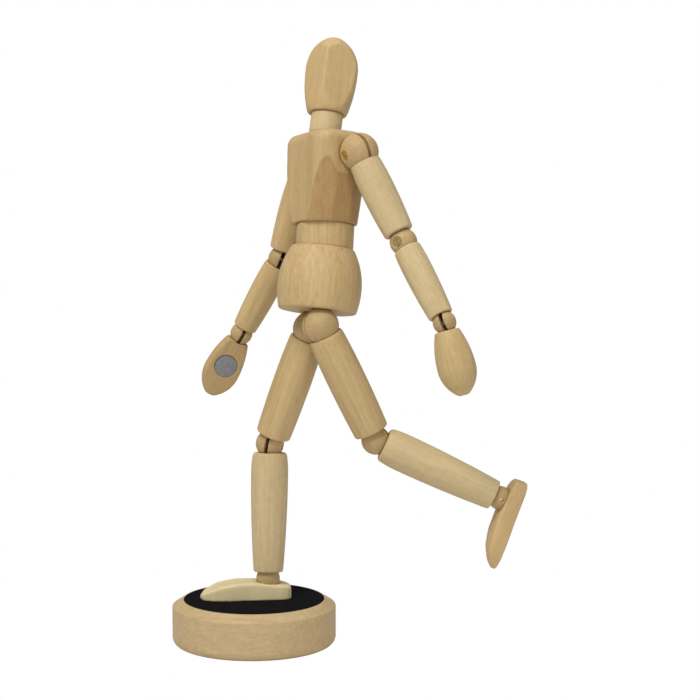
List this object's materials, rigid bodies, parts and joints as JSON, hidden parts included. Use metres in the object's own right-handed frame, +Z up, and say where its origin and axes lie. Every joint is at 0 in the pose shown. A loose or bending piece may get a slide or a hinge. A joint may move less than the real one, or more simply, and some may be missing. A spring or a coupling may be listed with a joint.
{
  "type": "artist mannequin",
  "caption": "Jointed wooden drawing figure on a round base: turned limbs on sprung ball joints, egg head, flat palms, one foot held to the felt-topped base by a magnet.",
  "frame": {"origin": "centre of the base's flat underside", "axes": "+Z up; the standing foot points along -Y; the figure's left is +X"},
  "size_m": [0.1183, 0.1682, 0.2921],
  "materials": {
    "wood": "smooth unvarnished pale hardwood",
    "base_wood": "smooth unvarnished pale hardwood, turned",
    "felt": "flat black felt",
    "steel_plate": "plain sheet",
    "brass_screw": "yellow plated, cross head",
    "spring_steel": "bright drawn wire",
    "magnet": "dull grey plated"
  },
  "bodies": {
    "base": {"base_disc": "base_wood", "base_steel_plate": "steel_plate", "base_felt": "felt"},
    "right_foot": {"right_foot": "wood", "right_foot_magnet_and_hook": "magnet"},
    "right_ankle_ball": {"right_ankle_ball": "wood", "right_ankle_screw": "brass_screw"},
    "right_shin": {"right_shin": "wood", "right_shin_spring": "spring_steel"},
    "right_knee_ball": {"right_knee_ball": "wood", "right_knee_screw": "brass_screw"},
    "right_thigh": {"right_thigh": "wood"},
    "right_thigh_spring": {"right_thigh_spring": "spring_steel"},
    "right_hip_ball": {"right_hip_ball": "wood", "right_hip_screw": "brass_screw"},
    "pelvis": {"pelvis": "wood", "hip_spring": "spring_steel"},
    "waist": {"waist": "wood"},
    "spine_spring": {"spine_spring": "spring_steel"},
    "chest": {"chest": "wood", "shoulder_spring": "spring_steel"},
    "neck": {"neck": "wood"},
    "neck_spring": {"neck_spring": "spring_steel"},
    "head": {"head": "wood"},
    "left_hip_ball": {"left_hip_ball": "wood", "left_hip_screw": "brass_screw"},
    "left_thigh_spring": {"left_thigh_spring": "spring_steel"},
    "left_thigh": {"left_thigh": "wood"},
    "left_knee_ball": {"left_knee_ball": "wood", "left_knee_screw": "brass_screw"},
    "left_shin": {"left_shin": "wood", "left_shin_spring": "spring_steel"},
    "left_ankle_ball": {"left_ankle_ball": "wood", "left_ankle_screw": "brass_screw"},
    "left_foot": {"left_foot": "wood", "left_foot_magnet_and_hook": "magnet"},
    "left_shoulder_ball": {"left_shoulder_ball": "wood", "left_shoulder_screw": "brass_screw"},
    "left_upper_arm_spring": {"left_upper_arm_spring": "spring_steel"},
    "left_upper_arm": {"left_upper_arm": "wood"},
    "left_elbow_ball": {"left_elbow_ball": "wood", "left_elbow_screw": "brass_screw"},
    "left_forearm": {"left_forearm": "wood", "left_forearm_spring": "spring_steel"},
    "left_wrist_ball": {"left_wrist_ball": "wood", "left_wrist_screw": "brass_screw"},
    "left_hand": {"left_hand": "wood", "left_hand_magnet_and_hook": "magnet"},
    "right_shoulder_ball": {"right_shoulder_ball": "wood", "right_shoulder_screw": "brass_screw"},
    "right_upper_arm_spring": {"right_upper_arm_spring": "spring_steel"},
    "right_upper_arm": {"right_upper_arm": "wood"},
    "right_elbow_ball": {"right_elbow_ball": "wood", "right_elbow_screw": "brass_screw"},
    "right_forearm": {"right_forearm": "wood", "right_forearm_spring": "spring_steel"},
    "right_wrist_ball": {"right_wrist_ball": "wood", "right_wrist_screw": "brass_screw"},
    "right_hand": {"right_hand": "wood", "right_hand_magnet_and_hook": "magnet"}
  },
  "joints": [
    {"name": "figure_lift", "type": "slide", "parent": "base", "child": "right_foot", "axis": [0, 0, 1], "range_m": [0, 0.04]},
    {"name": "right_ankle_turn", "type": "hinge", "parent": "right_foot", "child": "right_ankle_ball", "pos_m": [-0.0013, 0.007, 0.0316], "axis": [0, 0, 1], "range_deg": [-40, 40], "deforming": ["right_foot_magnet_and_hook"]},
    {"name": "right_ankle_bend", "type": "hinge", "parent": "right_ankle_ball", "child": "right_shin", "pos_m": [-0.0013, 0.007, 0.0316], "axis": [-0.9994, -0.0004, -0.0358], "range_deg": [-24, 30], "deforming": ["right_shin_spring"]},
    {"name": "right_shin_turn", "type": "hinge", "parent": "right_shin", "child": "right_knee_ball", "pos_m": [-0.00599, 0.00847, 0.09692], "axis": [-0.0716, 0.0224, 0.9972], "range_deg": [-45, 45], "deforming": ["right_shin_spring"]},
    {"name": "right_knee_bend", "type": "hinge", "parent": "right_knee_ball", "child": "right_thigh", "pos_m": [-0.00599, 0.00847, 0.09692], "axis": [0.3302, 0.926, -0.1831], "range_deg": [-29, 33], "deforming": ["right_thigh_spring", "right_shin_spring"]},
    {"name": "right_thigh_turn", "type": "hinge", "parent": "right_thigh", "child": "right_thigh_spring", "pos_m": [0.0072, 0.02736, 0.15394], "axis": [0.2143, 0.3072, 0.9272], "range_deg": [-30, 30], "deforming": ["right_thigh_spring"]},
    {"name": "right_hip_bend", "type": "hinge", "parent": "right_thigh_spring", "child": "right_hip_ball", "pos_m": [0.0072, 0.02736, 0.15394], "axis": [-0.4423, 0.8769, -0.1883], "range_deg": [-11, 12], "deforming": ["right_thigh_spring", "hip_spring"]},
    {"name": "right_hip_turn", "type": "hinge", "parent": "right_hip_ball", "child": "pelvis", "pos_m": [0.0072, 0.02736, 0.15394], "axis": [-0.196, 0.1104, 0.9744], "range_deg": [-30, 30], "deforming": ["hip_spring"]},
    {"name": "waist_lean", "type": "hinge", "parent": "pelvis", "child": "waist", "pos_m": [0.00585, 0.03484, 0.20931], "axis": [0.9731, 0.1442, 0.1794], "range_deg": [-10, 12], "deforming": ["spine_spring"]},
    {"name": "trunk_bend", "type": "hinge", "parent": "waist", "child": "spine_spring", "pos_m": [0.01057, 0.03324, 0.18646], "axis": [-0.4194, 0.8994, -0.1231], "range_deg": [-10, 10], "deforming": ["spine_spring"]},
    {"name": "trunk_turn", "type": "hinge", "parent": "spine_spring", "child": "chest", "pos_m": [0.01057, 0.03324, 0.18646], "axis": [-0.2043, 0.0386, 0.9781], "range_deg": [-35, 35], "deforming": ["spine_spring"]},
    {"name": "neck_tilt", "type": "hinge", "parent": "chest", "child": "neck", "pos_m": [-0.00324, 0.03585, 0.25258], "axis": [-0.4194, 0.8994, -0.1231], "range_deg": [-10, 10], "deforming": ["neck_spring"]},
    {"name": "head_nod", "type": "hinge", "parent": "neck", "child": "neck_spring", "pos_m": [-0.00249, 0.03533, 0.2492], "axis": [0.3486, 0.937, -0.0211], "range_deg": [-12, 12], "deforming": ["neck_spring"]},
    {"name": "head_turn", "type": "hinge", "parent": "neck_spring", "child": "head", "pos_m": [-0.00249, 0.03533, 0.2492], "axis": [-0.2914, 0.1297, 0.9478], "range_deg": [-60, 60], "deforming": ["neck_spring"]},
    {"name": "left_hip_turn", "type": "hinge", "parent": "pelvis", "child": "left_hip_ball", "pos_m": [0.02607, 0.03016, 0.15742], "axis": [-0.196, 0.1104, 0.9744], "range_deg": [-30, 30], "deforming": ["hip_spring"]},
    {"name": "left_hip_bend", "type": "hinge", "parent": "left_hip_ball", "child": "left_thigh_spring", "pos_m": [0.02607, 0.03016, 0.15742], "axis": [-0.9495, -0.2911, -0.1173], "range_deg": [-6, 45], "deforming": ["left_thigh_spring", "hip_spring"]},
    {"name": "left_thigh_turn", "type": "hinge", "parent": "left_thigh_spring", "child": "left_thigh", "pos_m": [0.02607, 0.03016, 0.15742], "axis": [0.0631, -0.4322, 0.8996], "range_deg": [-30, 30], "deforming": ["left_thigh_spring"]},
    {"name": "left_knee_bend", "type": "hinge", "parent": "left_thigh", "child": "left_knee_ball", "pos_m": [0.0222, 0.05674, 0.1021], "axis": [-0.978, 0.153, 0.142], "range_deg": [-12, 43], "deforming": ["left_thigh_spring", "left_shin_spring"]},
    {"name": "left_shin_turn", "type": "hinge", "parent": "left_knee_ball", "child": "left_shin", "pos_m": [0.0222, 0.05674, 0.1021], "axis": [-0.0788, -0.9006, 0.4274], "range_deg": [-60, 60], "deforming": ["left_shin_spring"]},
    {"name": "left_ankle_bend", "type": "hinge", "parent": "left_shin", "child": "left_ankle_ball", "pos_m": [0.02736, 0.11574, 0.0741], "axis": [0.9992, -0.0363, 0.0154], "range_deg": [-36, 21], "deforming": ["left_shin_spring"]},
    {"name": "left_ankle_turn", "type": "hinge", "parent": "left_ankle_ball", "child": "left_foot", "pos_m": [0.02736, 0.11574, 0.0741], "axis": [0, -0.9367, 0.3502], "range_deg": [-40, 40], "deforming": ["left_foot_magnet_and_hook"]},
    {"name": "left_shoulder_turn", "type": "hinge", "parent": "chest", "child": "left_shoulder_ball", "pos_m": [0.01984, 0.04911, 0.23832], "axis": [0.8845, 0.4354, 0.1676], "range_deg": [-60, 60], "deforming": ["shoulder_spring"]},
    {"name": "left_shoulder_bend", "type": "hinge", "parent": "left_shoulder_ball", "child": "left_upper_arm_spring", "pos_m": [0.01984, 0.04911, 0.23832], "axis": [0.4638, -0.8596, -0.2146], "range_deg": [-2, 50], "deforming": ["left_upper_arm_spring", "shoulder_spring"]},
    {"name": "left_upper_arm_turn", "type": "hinge", "parent": "left_upper_arm_spring", "child": "left_upper_arm", "pos_m": [0.01984, 0.04911, 0.23832], "axis": [-0.3324, -0.3934, 0.8572], "range_deg": [-60, 60], "deforming": ["left_upper_arm_spring"]},
    {"name": "left_elbow_bend", "type": "hinge", "parent": "left_upper_arm", "child": "left_elbow_ball", "pos_m": [0.0358, 0.06799, 0.19717], "axis": [0.7775, -0.6265, 0.0546], "range_deg": [-24, 22], "deforming": ["left_upper_arm_spring", "left_forearm_spring"]},
    {"name": "left_forearm_turn", "type": "hinge", "parent": "left_elbow_ball", "child": "left_forearm", "pos_m": [0.0358, 0.06799, 0.19717], "axis": [-0.4132, -0.3853, 0.8251], "range_deg": [-75, 75], "deforming": ["left_forearm_spring"]},
    {"name": "left_wrist_bend", "type": "hinge", "parent": "left_forearm", "child": "left_wrist_ball", "pos_m": [0.05377, 0.08476, 0.16128], "axis": [0.2966, 0.8657, 0.4031], "range_deg": [-53, 18], "deforming": ["left_forearm_spring"]},
    {"name": "left_hand_turn", "type": "hinge", "parent": "left_wrist_ball", "child": "left_hand", "pos_m": [0.05377, 0.08476, 0.16128], "axis": [-0.171, -0.2433, 0.9548], "range_deg": [-75, 75], "deforming": ["left_hand_magnet_and_hook"]},
    {"name": "right_shoulder_turn", "type": "hinge", "parent": "chest", "child": "right_shoulder_ball", "pos_m": [-0.02226, 0.02839, 0.23034], "axis": [-0.8845, -0.4354, -0.1676], "range_deg": [-60, 60], "deforming": ["shoulder_spring"]},
    {"name": "right_shoulder_bend", "type": "hinge", "parent": "right_shoulder_ball", "child": "right_upper_arm_spring", "pos_m": [-0.02226, 0.02839, 0.23034], "axis": [0.4085, -0.8963, 0.1728], "range_deg": [-50, 2], "deforming": ["right_upper_arm_spring", "shoulder_spring"]},
    {"name": "right_upper_arm_turn", "type": "hinge", "parent": "right_upper_arm_spring", "child": "right_upper_arm", "pos_m": [-0.02226, 0.02839, 0.23034], "axis": [0.158, 0.2558, 0.9537], "range_deg": [-60, 60], "deforming": ["right_upper_arm_spring"]},
    {"name": "right_elbow_bend", "type": "hinge", "parent": "right_upper_arm", "child": "right_elbow_ball", "pos_m": [-0.02985, 0.01611, 0.18456], "axis": [0.0504, 0.9287, -0.3674], "range_deg": [-52, 22], "deforming": ["right_upper_arm_spring", "right_forearm_spring"]},
    {"name": "right_forearm_turn", "type": "hinge", "parent": "right_elbow_ball", "child": "right_forearm", "pos_m": [-0.02985, 0.01611, 0.18456], "axis": [0.2362, 0.4424, 0.8651], "range_deg": [-75, 75], "deforming": ["right_forearm_spring"]},
    {"name": "right_wrist_bend", "type": "hinge", "parent": "right_forearm", "child": "right_wrist_ball", "pos_m": [-0.04012, -0.00314, 0.14693], "axis": [-0.1482, 0.8903, -0.4306], "range_deg": [-38, 27], "deforming": ["right_forearm_spring"]},
    {"name": "right_hand_turn", "type": "hinge", "parent": "right_wrist_ball", "child": "right_hand", "pos_m": [-0.04012, -0.00314, 0.14693], "axis": [0.1235, 0.4609, 0.8788], "range_deg": [-75, 75], "deforming": ["right_hand_magnet_and_hook"]}
  ]
}
